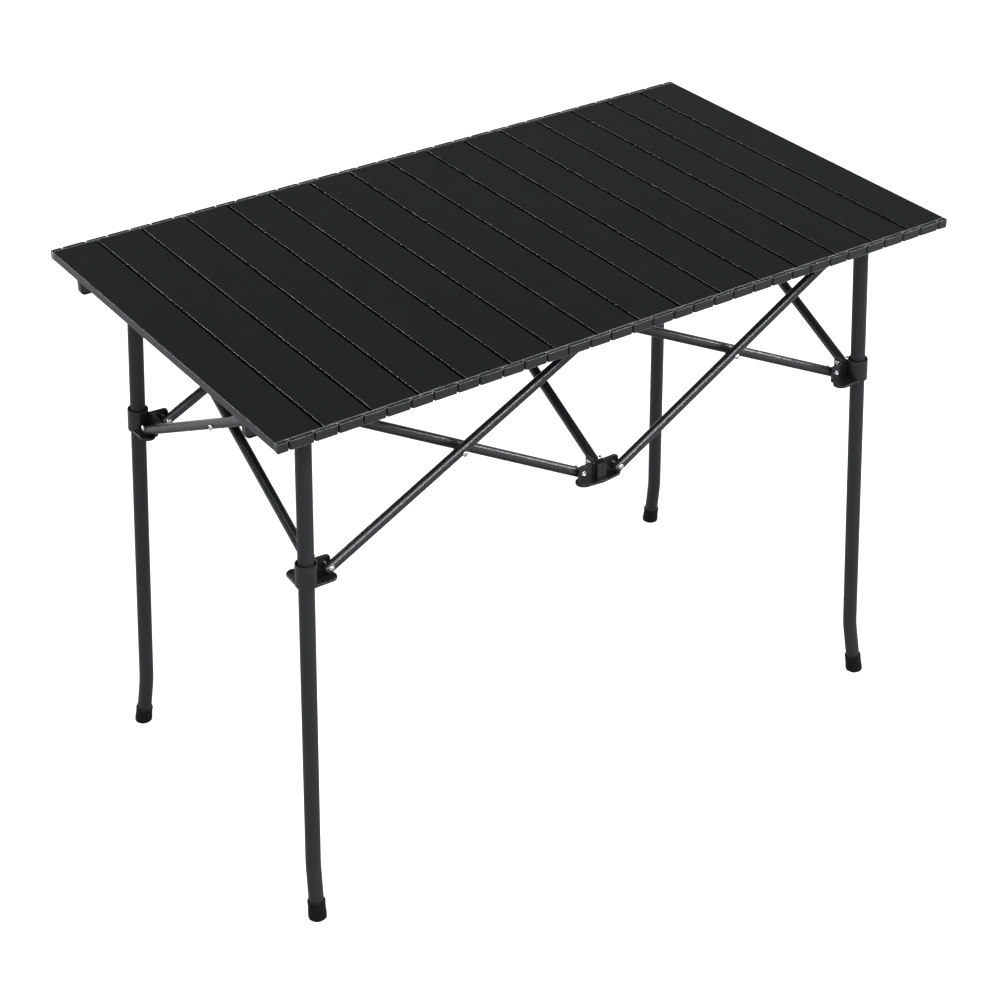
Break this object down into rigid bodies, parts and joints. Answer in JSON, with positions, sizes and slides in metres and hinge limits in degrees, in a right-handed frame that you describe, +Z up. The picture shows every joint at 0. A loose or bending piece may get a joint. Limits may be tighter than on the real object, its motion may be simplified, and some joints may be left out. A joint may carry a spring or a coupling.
{
  "type": "folding picnic table",
  "caption": "Roll-up slatted table top on a scissor-folding frame of bent legs with sliding brackets.",
  "frame": {"origin": "on the floor under the middle of the table top", "axes": "+X along the length of the top, +Y across it towards the rear, +Z up"},
  "size_m": [0.95, 0.55, 0.705],
  "materials": {
    "slat_aluminium": "satin black anodised slats",
    "leg_paint": "black powder coat, satin",
    "brace_paint": "black powder coat, semi gloss, fine texture",
    "bracket_plastic": "moulded black plastic, low gloss",
    "latch_plastic": "moulded black plastic",
    "foot_rubber": "matt black rubber",
    "rivet_steel": "plain steel rivets"
  },
  "bodies": {
    "leg_front_left": {"leg_tube_front_left": "leg_paint", "foot_front_left": "foot_rubber", "leg_head_front_left": "bracket_plastic"},
    "leg_front_right": {"leg_tube_front_right": "leg_paint", "foot_front_right": "foot_rubber", "leg_head_front_right": "bracket_plastic"},
    "leg_rear_left": {"leg_tube_rear_left": "leg_paint", "foot_rear_left": "foot_rubber", "leg_head_rear_left": "bracket_plastic"},
    "leg_rear_right": {"leg_tube_rear_right": "leg_paint", "foot_rear_right": "foot_rubber", "leg_head_rear_right": "bracket_plastic"},
    "slider_front_left": {"slider_front_left": "bracket_plastic", "slider_rivets_front_left": "rivet_steel"},
    "slider_front_right": {"slider_front_right": "bracket_plastic", "slider_rivets_front_right": "rivet_steel"},
    "slider_rear_left": {"slider_rear_left": "bracket_plastic", "slider_rivets_rear_left": "rivet_steel"},
    "slider_rear_right": {"slider_rear_right": "bracket_plastic", "slider_rivets_rear_right": "rivet_steel"},
    "hub_lower_front": {"lower_hub_front": "bracket_plastic", "lower_hub_rivets_front": "rivet_steel"},
    "hub_lower_rear": {"lower_hub_rear": "bracket_plastic", "lower_hub_rivets_rear": "rivet_steel"},
    "hub_upper_front": {"upper_hub_front": "bracket_plastic", "upper_hub_rivets_front": "rivet_steel"},
    "hub_upper_rear": {"upper_hub_rear": "bracket_plastic", "upper_hub_rivets_rear": "rivet_steel"},
    "brace_slider_front_left": {"brace_slider_front_left": "brace_paint"},
    "brace_head_front_left": {"brace_head_front_left": "brace_paint"},
    "brace_slider_front_right": {"brace_slider_front_right": "brace_paint"},
    "brace_head_front_right": {"brace_head_front_right": "brace_paint"},
    "brace_slider_rear_left": {"brace_slider_rear_left": "brace_paint"},
    "brace_head_rear_left": {"brace_head_rear_left": "brace_paint"},
    "brace_slider_rear_right": {"brace_slider_rear_right": "brace_paint"},
    "brace_head_rear_right": {"brace_head_rear_right": "brace_paint"},
    "brace_left_from_front": {"brace_left_from_front": "brace_paint"},
    "brace_left_from_rear": {"brace_left_from_rear": "brace_paint"},
    "brace_right_from_front": {"brace_right_from_front": "brace_paint"},
    "brace_right_from_rear": {"brace_right_from_rear": "brace_paint"},
    "brace_middle_from_front": {"brace_middle_from_front": "brace_paint"},
    "brace_middle_from_rear": {"brace_middle_from_rear": "brace_paint"},
    "slat_01": {"slat_01": "slat_aluminium", "latches_left": "latch_plastic"},
    "slat_02": {"slat_02": "slat_aluminium"},
    "slat_03": {"slat_03": "slat_aluminium"},
    "slat_04": {"slat_04": "slat_aluminium"},
    "slat_05": {"slat_05": "slat_aluminium"},
    "slat_06": {"slat_06": "slat_aluminium"},
    "slat_07": {"slat_07": "slat_aluminium"},
    "slat_08": {"slat_08": "slat_aluminium"},
    "slat_09": {"slat_09": "slat_aluminium"},
    "slat_10": {"slat_10": "slat_aluminium"},
    "slat_11": {"slat_11": "slat_aluminium"},
    "slat_12": {"slat_12": "slat_aluminium"},
    "slat_13": {"slat_13": "slat_aluminium"},
    "slat_14": {"slat_14": "slat_aluminium"},
    "slat_15": {"slat_15": "slat_aluminium"},
    "slat_16": {"slat_16": "slat_aluminium", "latches_right": "latch_plastic"}
  },
  "joints": [
    {"name": "frame_fold", "type": "hinge", "parent": "leg_front_left", "child": "brace_head_front_left", "pos_m": [-0.37451, -0.20114, 0.67129], "axis": [0, 0.9994, -0.0349], "range_deg": [0, 57]},
    {"name": "crossing_front_left", "type": "hinge", "parent": "brace_head_front_left", "child": "brace_slider_front_left", "pos_m": [-0.20136, -0.20477, 0.56732], "axis": [0, -0.9994, 0.0349], "range_deg": [0, 114]},
    {"name": "slider_pin_front_left", "type": "hinge", "parent": "brace_slider_front_left", "child": "slider_front_left", "pos_m": [-0.38443, -0.20775, 0.482], "axis": [0, 0.9994, -0.0349], "range_deg": [0, 57]},
    {"name": "lower_hub_pin_front_left", "type": "hinge", "parent": "brace_head_front_left", "child": "hub_lower_front", "pos_m": [-0.023, -0.20808, 0.47255], "axis": [0, -0.9994, 0.0349], "range_deg": [0, 57]},
    {"name": "upper_hub_pin_front_left", "type": "hinge", "parent": "brace_slider_front_left", "child": "hub_upper_front", "pos_m": [-0.023, -0.20146, 0.6621], "axis": [0, 0.9994, -0.0349], "range_deg": [0, 57]},
    {"name": "lower_hub_pin_front_right", "type": "hinge", "parent": "hub_lower_front", "child": "brace_head_front_right", "pos_m": [0.023, -0.20808, 0.47255], "axis": [0, -0.9994, 0.0349], "range_deg": [0, 57]},
    {"name": "upper_hub_pin_front_right", "type": "hinge", "parent": "hub_upper_front", "child": "brace_slider_front_right", "pos_m": [0.023, -0.20146, 0.6621], "axis": [0, 0.9994, -0.0349], "range_deg": [0, 57]},
    {"name": "head_pin_front_right", "type": "hinge", "parent": "brace_head_front_right", "child": "leg_front_right", "pos_m": [0.37451, -0.20114, 0.67129], "axis": [0, 0.9994, -0.0349], "range_deg": [0, 57]},
    {"name": "slider_pin_front_right", "type": "hinge", "parent": "brace_slider_front_right", "child": "slider_front_right", "pos_m": [0.38443, -0.20775, 0.482], "axis": [0, -0.9994, 0.0349], "range_deg": [0, 57]},
    {"name": "left_head_pin_front", "type": "hinge", "parent": "leg_front_left", "child": "brace_left_from_front", "pos_m": [-0.40416, -0.17494, 0.67193], "axis": [-0.9986, 0, 0.0523], "range_deg": [0, 57]},
    {"name": "left_slider_pin_rear", "type": "hinge", "parent": "brace_left_from_front", "child": "slider_rear_left", "pos_m": [-0.41408, 0.18155, 0.48264], "axis": [0.9986, 0, -0.0523], "range_deg": [0, 57]},
    {"name": "left_slider_pin_front", "type": "hinge", "parent": "slider_front_left", "child": "brace_left_from_rear", "pos_m": [-0.41408, -0.18155, 0.48264], "axis": [0.9986, 0, -0.0523], "range_deg": [0, 57]},
    {"name": "left_head_pin_rear", "type": "hinge", "parent": "brace_left_from_rear", "child": "leg_rear_left", "pos_m": [-0.40416, 0.17494, 0.67193], "axis": [-0.9986, 0, 0.0523], "range_deg": [0, 57]},
    {"name": "middle_upper_pin_front", "type": "hinge", "parent": "hub_upper_front", "child": "brace_middle_from_front", "pos_m": [0, -0.17494, 0.66117], "axis": [-1, 0, 0], "range_deg": [0, 57]},
    {"name": "middle_lower_pin_rear", "type": "hinge", "parent": "brace_middle_from_front", "child": "hub_lower_rear", "pos_m": [0, 0.18156, 0.47162], "axis": [1, 0, 0], "range_deg": [0, 57]},
    {"name": "middle_lower_pin_front", "type": "hinge", "parent": "hub_lower_front", "child": "brace_middle_from_rear", "pos_m": [0, -0.18156, 0.47162], "axis": [1, 0, 0], "range_deg": [0, 57]},
    {"name": "middle_upper_pin_rear", "type": "hinge", "parent": "brace_middle_from_rear", "child": "hub_upper_rear", "pos_m": [0, 0.17494, 0.66117], "axis": [-1, 0, 0], "range_deg": [0, 57]},
    {"name": "right_head_pin_front", "type": "hinge", "parent": "leg_front_right", "child": "brace_right_from_front", "pos_m": [0.40416, -0.17494, 0.67193], "axis": [-0.9986, 0, -0.0523], "range_deg": [0, 57]},
    {"name": "right_slider_pin_rear", "type": "hinge", "parent": "brace_right_from_front", "child": "slider_rear_right", "pos_m": [0.41408, 0.18155, 0.48264], "axis": [0.9986, 0, 0.0523], "range_deg": [0, 57]},
    {"name": "right_slider_pin_front", "type": "hinge", "parent": "slider_front_right", "child": "brace_right_from_rear", "pos_m": [0.41408, -0.18155, 0.48264], "axis": [0.9986, 0, 0.0523], "range_deg": [0, 57]},
    {"name": "right_head_pin_rear", "type": "hinge", "parent": "brace_right_from_rear", "child": "leg_rear_right", "pos_m": [0.40416, 0.17494, 0.67193], "axis": [-0.9986, 0, -0.0523], "range_deg": [0, 57]},
    {"name": "head_pin_rear_left", "type": "hinge", "parent": "leg_rear_left", "child": "brace_head_rear_left", "pos_m": [-0.37451, 0.20114, 0.67129], "axis": [0, 0.9994, 0.0349], "range_deg": [0, 57]},
    {"name": "slider_pin_rear_left", "type": "hinge", "parent": "slider_rear_left", "child": "brace_slider_rear_left", "pos_m": [-0.38443, 0.20775, 0.482], "axis": [0, -0.9994, -0.0349], "range_deg": [0, 57]},
    {"name": "lower_hub_pin_rear_right", "type": "hinge", "parent": "hub_lower_rear", "child": "brace_head_rear_right", "pos_m": [0.023, 0.20808, 0.47255], "axis": [0, -0.9994, -0.0349], "range_deg": [0, 57]},
    {"name": "upper_hub_pin_rear_right", "type": "hinge", "parent": "hub_upper_rear", "child": "brace_slider_rear_right", "pos_m": [0.023, 0.20146, 0.6621], "axis": [0, 0.9994, 0.0349], "range_deg": [0, 57]},
    {"name": "top_lift", "type": "slide", "parent": "leg_front_left", "child": "slat_01", "axis": [0, 0, 1], "range_m": [0, 0.2]},
    {"name": "top_roll", "type": "hinge", "parent": "slat_01", "child": "slat_02", "pos_m": [-0.41563, 0, 0.705], "axis": [0, -1, 0], "range_deg": [0, 33.35]},
    {"name": "seam_02", "type": "hinge", "parent": "slat_02", "child": "slat_03", "pos_m": [-0.35625, 0, 0.705], "axis": [0, -1, 0], "range_deg": [0, 34.37]},
    {"name": "seam_03", "type": "hinge", "parent": "slat_03", "child": "slat_04", "pos_m": [-0.29688, 0, 0.705], "axis": [0, -1, 0], "range_deg": [0, 35.48]},
    {"name": "seam_04", "type": "hinge", "parent": "slat_04", "child": "slat_05", "pos_m": [-0.2375, 0, 0.705], "axis": [0, -1, 0], "range_deg": [0, 36.71]},
    {"name": "seam_05", "type": "hinge", "parent": "slat_05", "child": "slat_06", "pos_m": [-0.17813, 0, 0.705], "axis": [0, -1, 0], "range_deg": [0, 38.08]},
    {"name": "seam_06", "type": "hinge", "parent": "slat_06", "child": "slat_07", "pos_m": [-0.11875, 0, 0.705], "axis": [0, -1, 0], "range_deg": [0, 39.6]},
    {"name": "seam_07", "type": "hinge", "parent": "slat_07", "child": "slat_08", "pos_m": [-0.05937, 0, 0.705], "axis": [0, -1, 0], "range_deg": [0, 41.34]},
    {"name": "seam_08", "type": "hinge", "parent": "slat_08", "child": "slat_09", "pos_m": [0, 0, 0.705], "axis": [0, -1, 0], "range_deg": [0, 43.31]},
    {"name": "seam_09", "type": "hinge", "parent": "slat_09", "child": "slat_10", "pos_m": [0.05937, 0, 0.705], "axis": [0, -1, 0], "range_deg": [0, 45.61]},
    {"name": "seam_10", "type": "hinge", "parent": "slat_10", "child": "slat_11", "pos_m": [0.11875, 0, 0.705], "axis": [0, -1, 0], "range_deg": [0, 48.31]},
    {"name": "seam_11", "type": "hinge", "parent": "slat_11", "child": "slat_12", "pos_m": [0.17813, 0, 0.705], "axis": [0, -1, 0], "range_deg": [0, 51.55]},
    {"name": "seam_12", "type": "hinge", "parent": "slat_12", "child": "slat_13", "pos_m": [0.2375, 0, 0.705], "axis": [0, -1, 0], "range_deg": [0, 55.55]},
    {"name": "seam_13", "type": "hinge", "parent": "slat_13", "child": "slat_14", "pos_m": [0.29688, 0, 0.705], "axis": [0, -1, 0], "range_deg": [0, 60.66]},
    {"name": "seam_14", "type": "hinge", "parent": "slat_14", "child": "slat_15", "pos_m": [0.35625, 0, 0.705], "axis": [0, -1, 0], "range_deg": [0, 67.49]},
    {"name": "seam_15", "type": "hinge", "parent": "slat_15", "child": "slat_16", "pos_m": [0.41563, 0, 0.705], "axis": [0, -1, 0], "range_deg": [0, 77.32]}
  ],
  "couplings": [
    {"joint": "crossing_front_left", "follows": "frame_fold", "ratio": 2},
    {"joint": "slider_pin_front_left", "follows": "frame_fold", "ratio": 1},
    {"joint": "lower_hub_pin_front_left", "follows": "frame_fold", "ratio": 1},
    {"joint": "upper_hub_pin_front_left", "follows": "frame_fold", "ratio": 1},
    {"joint": "lower_hub_pin_front_right", "follows": "frame_fold", "ratio": 1},
    {"joint": "upper_hub_pin_front_right", "follows": "frame_fold", "ratio": 1},
    {"joint": "head_pin_front_right", "follows": "frame_fold", "ratio": 1},
    {"joint": "slider_pin_front_right", "follows": "frame_fold", "ratio": 1},
    {"joint": "left_head_pin_front", "follows": "frame_fold", "ratio": 1},
    {"joint": "left_slider_pin_rear", "follows": "frame_fold", "ratio": 1},
    {"joint": "left_slider_pin_front", "follows": "frame_fold", "ratio": 1},
    {"joint": "left_head_pin_rear", "follows": "frame_fold", "ratio": 1},
    {"joint": "middle_upper_pin_front", "follows": "frame_fold", "ratio": 1},
    {"joint": "middle_lower_pin_rear", "follows": "frame_fold", "ratio": 1},
    {"joint": "middle_lower_pin_front", "follows": "frame_fold", "ratio": 1},
    {"joint": "middle_upper_pin_rear", "follows": "frame_fold", "ratio": 1},
    {"joint": "right_head_pin_front", "follows": "frame_fold", "ratio": 1},
    {"joint": "right_slider_pin_rear", "follows": "frame_fold", "ratio": 1},
    {"joint": "right_slider_pin_front", "follows": "frame_fold", "ratio": 1},
    {"joint": "right_head_pin_rear", "follows": "frame_fold", "ratio": 1},
    {"joint": "head_pin_rear_left", "follows": "frame_fold", "ratio": 1},
    {"joint": "slider_pin_rear_left", "follows": "frame_fold", "ratio": 1},
    {"joint": "lower_hub_pin_rear_right", "follows": "frame_fold", "ratio": 1},
    {"joint": "upper_hub_pin_rear_right", "follows": "frame_fold", "ratio": 1},
    {"joint": "seam_02", "follows": "top_roll", "ratio": 1.0304},
    {"joint": "seam_03", "follows": "top_roll", "ratio": 1.0637},
    {"joint": "seam_04", "follows": "top_roll", "ratio": 1.1006},
    {"joint": "seam_05", "follows": "top_roll", "ratio": 1.1415},
    {"joint": "seam_06", "follows": "top_roll", "ratio": 1.1874},
    {"joint": "seam_07", "follows": "top_roll", "ratio": 1.2392},
    {"joint": "seam_08", "follows": "top_roll", "ratio": 1.2985},
    {"joint": "seam_09", "follows": "top_roll", "ratio": 1.3673},
    {"joint": "seam_10", "follows": "top_roll", "ratio": 1.4483},
    {"joint": "seam_11", "follows": "top_roll", "ratio": 1.5455},
    {"joint": "seam_12", "follows": "top_roll", "ratio": 1.6655},
    {"joint": "seam_13", "follows": "top_roll", "ratio": 1.8186},
    {"joint": "seam_14", "follows": "top_roll", "ratio": 2.0234},
    {"joint": "seam_15", "follows": "top_roll", "ratio": 2.3181}
  ]
}
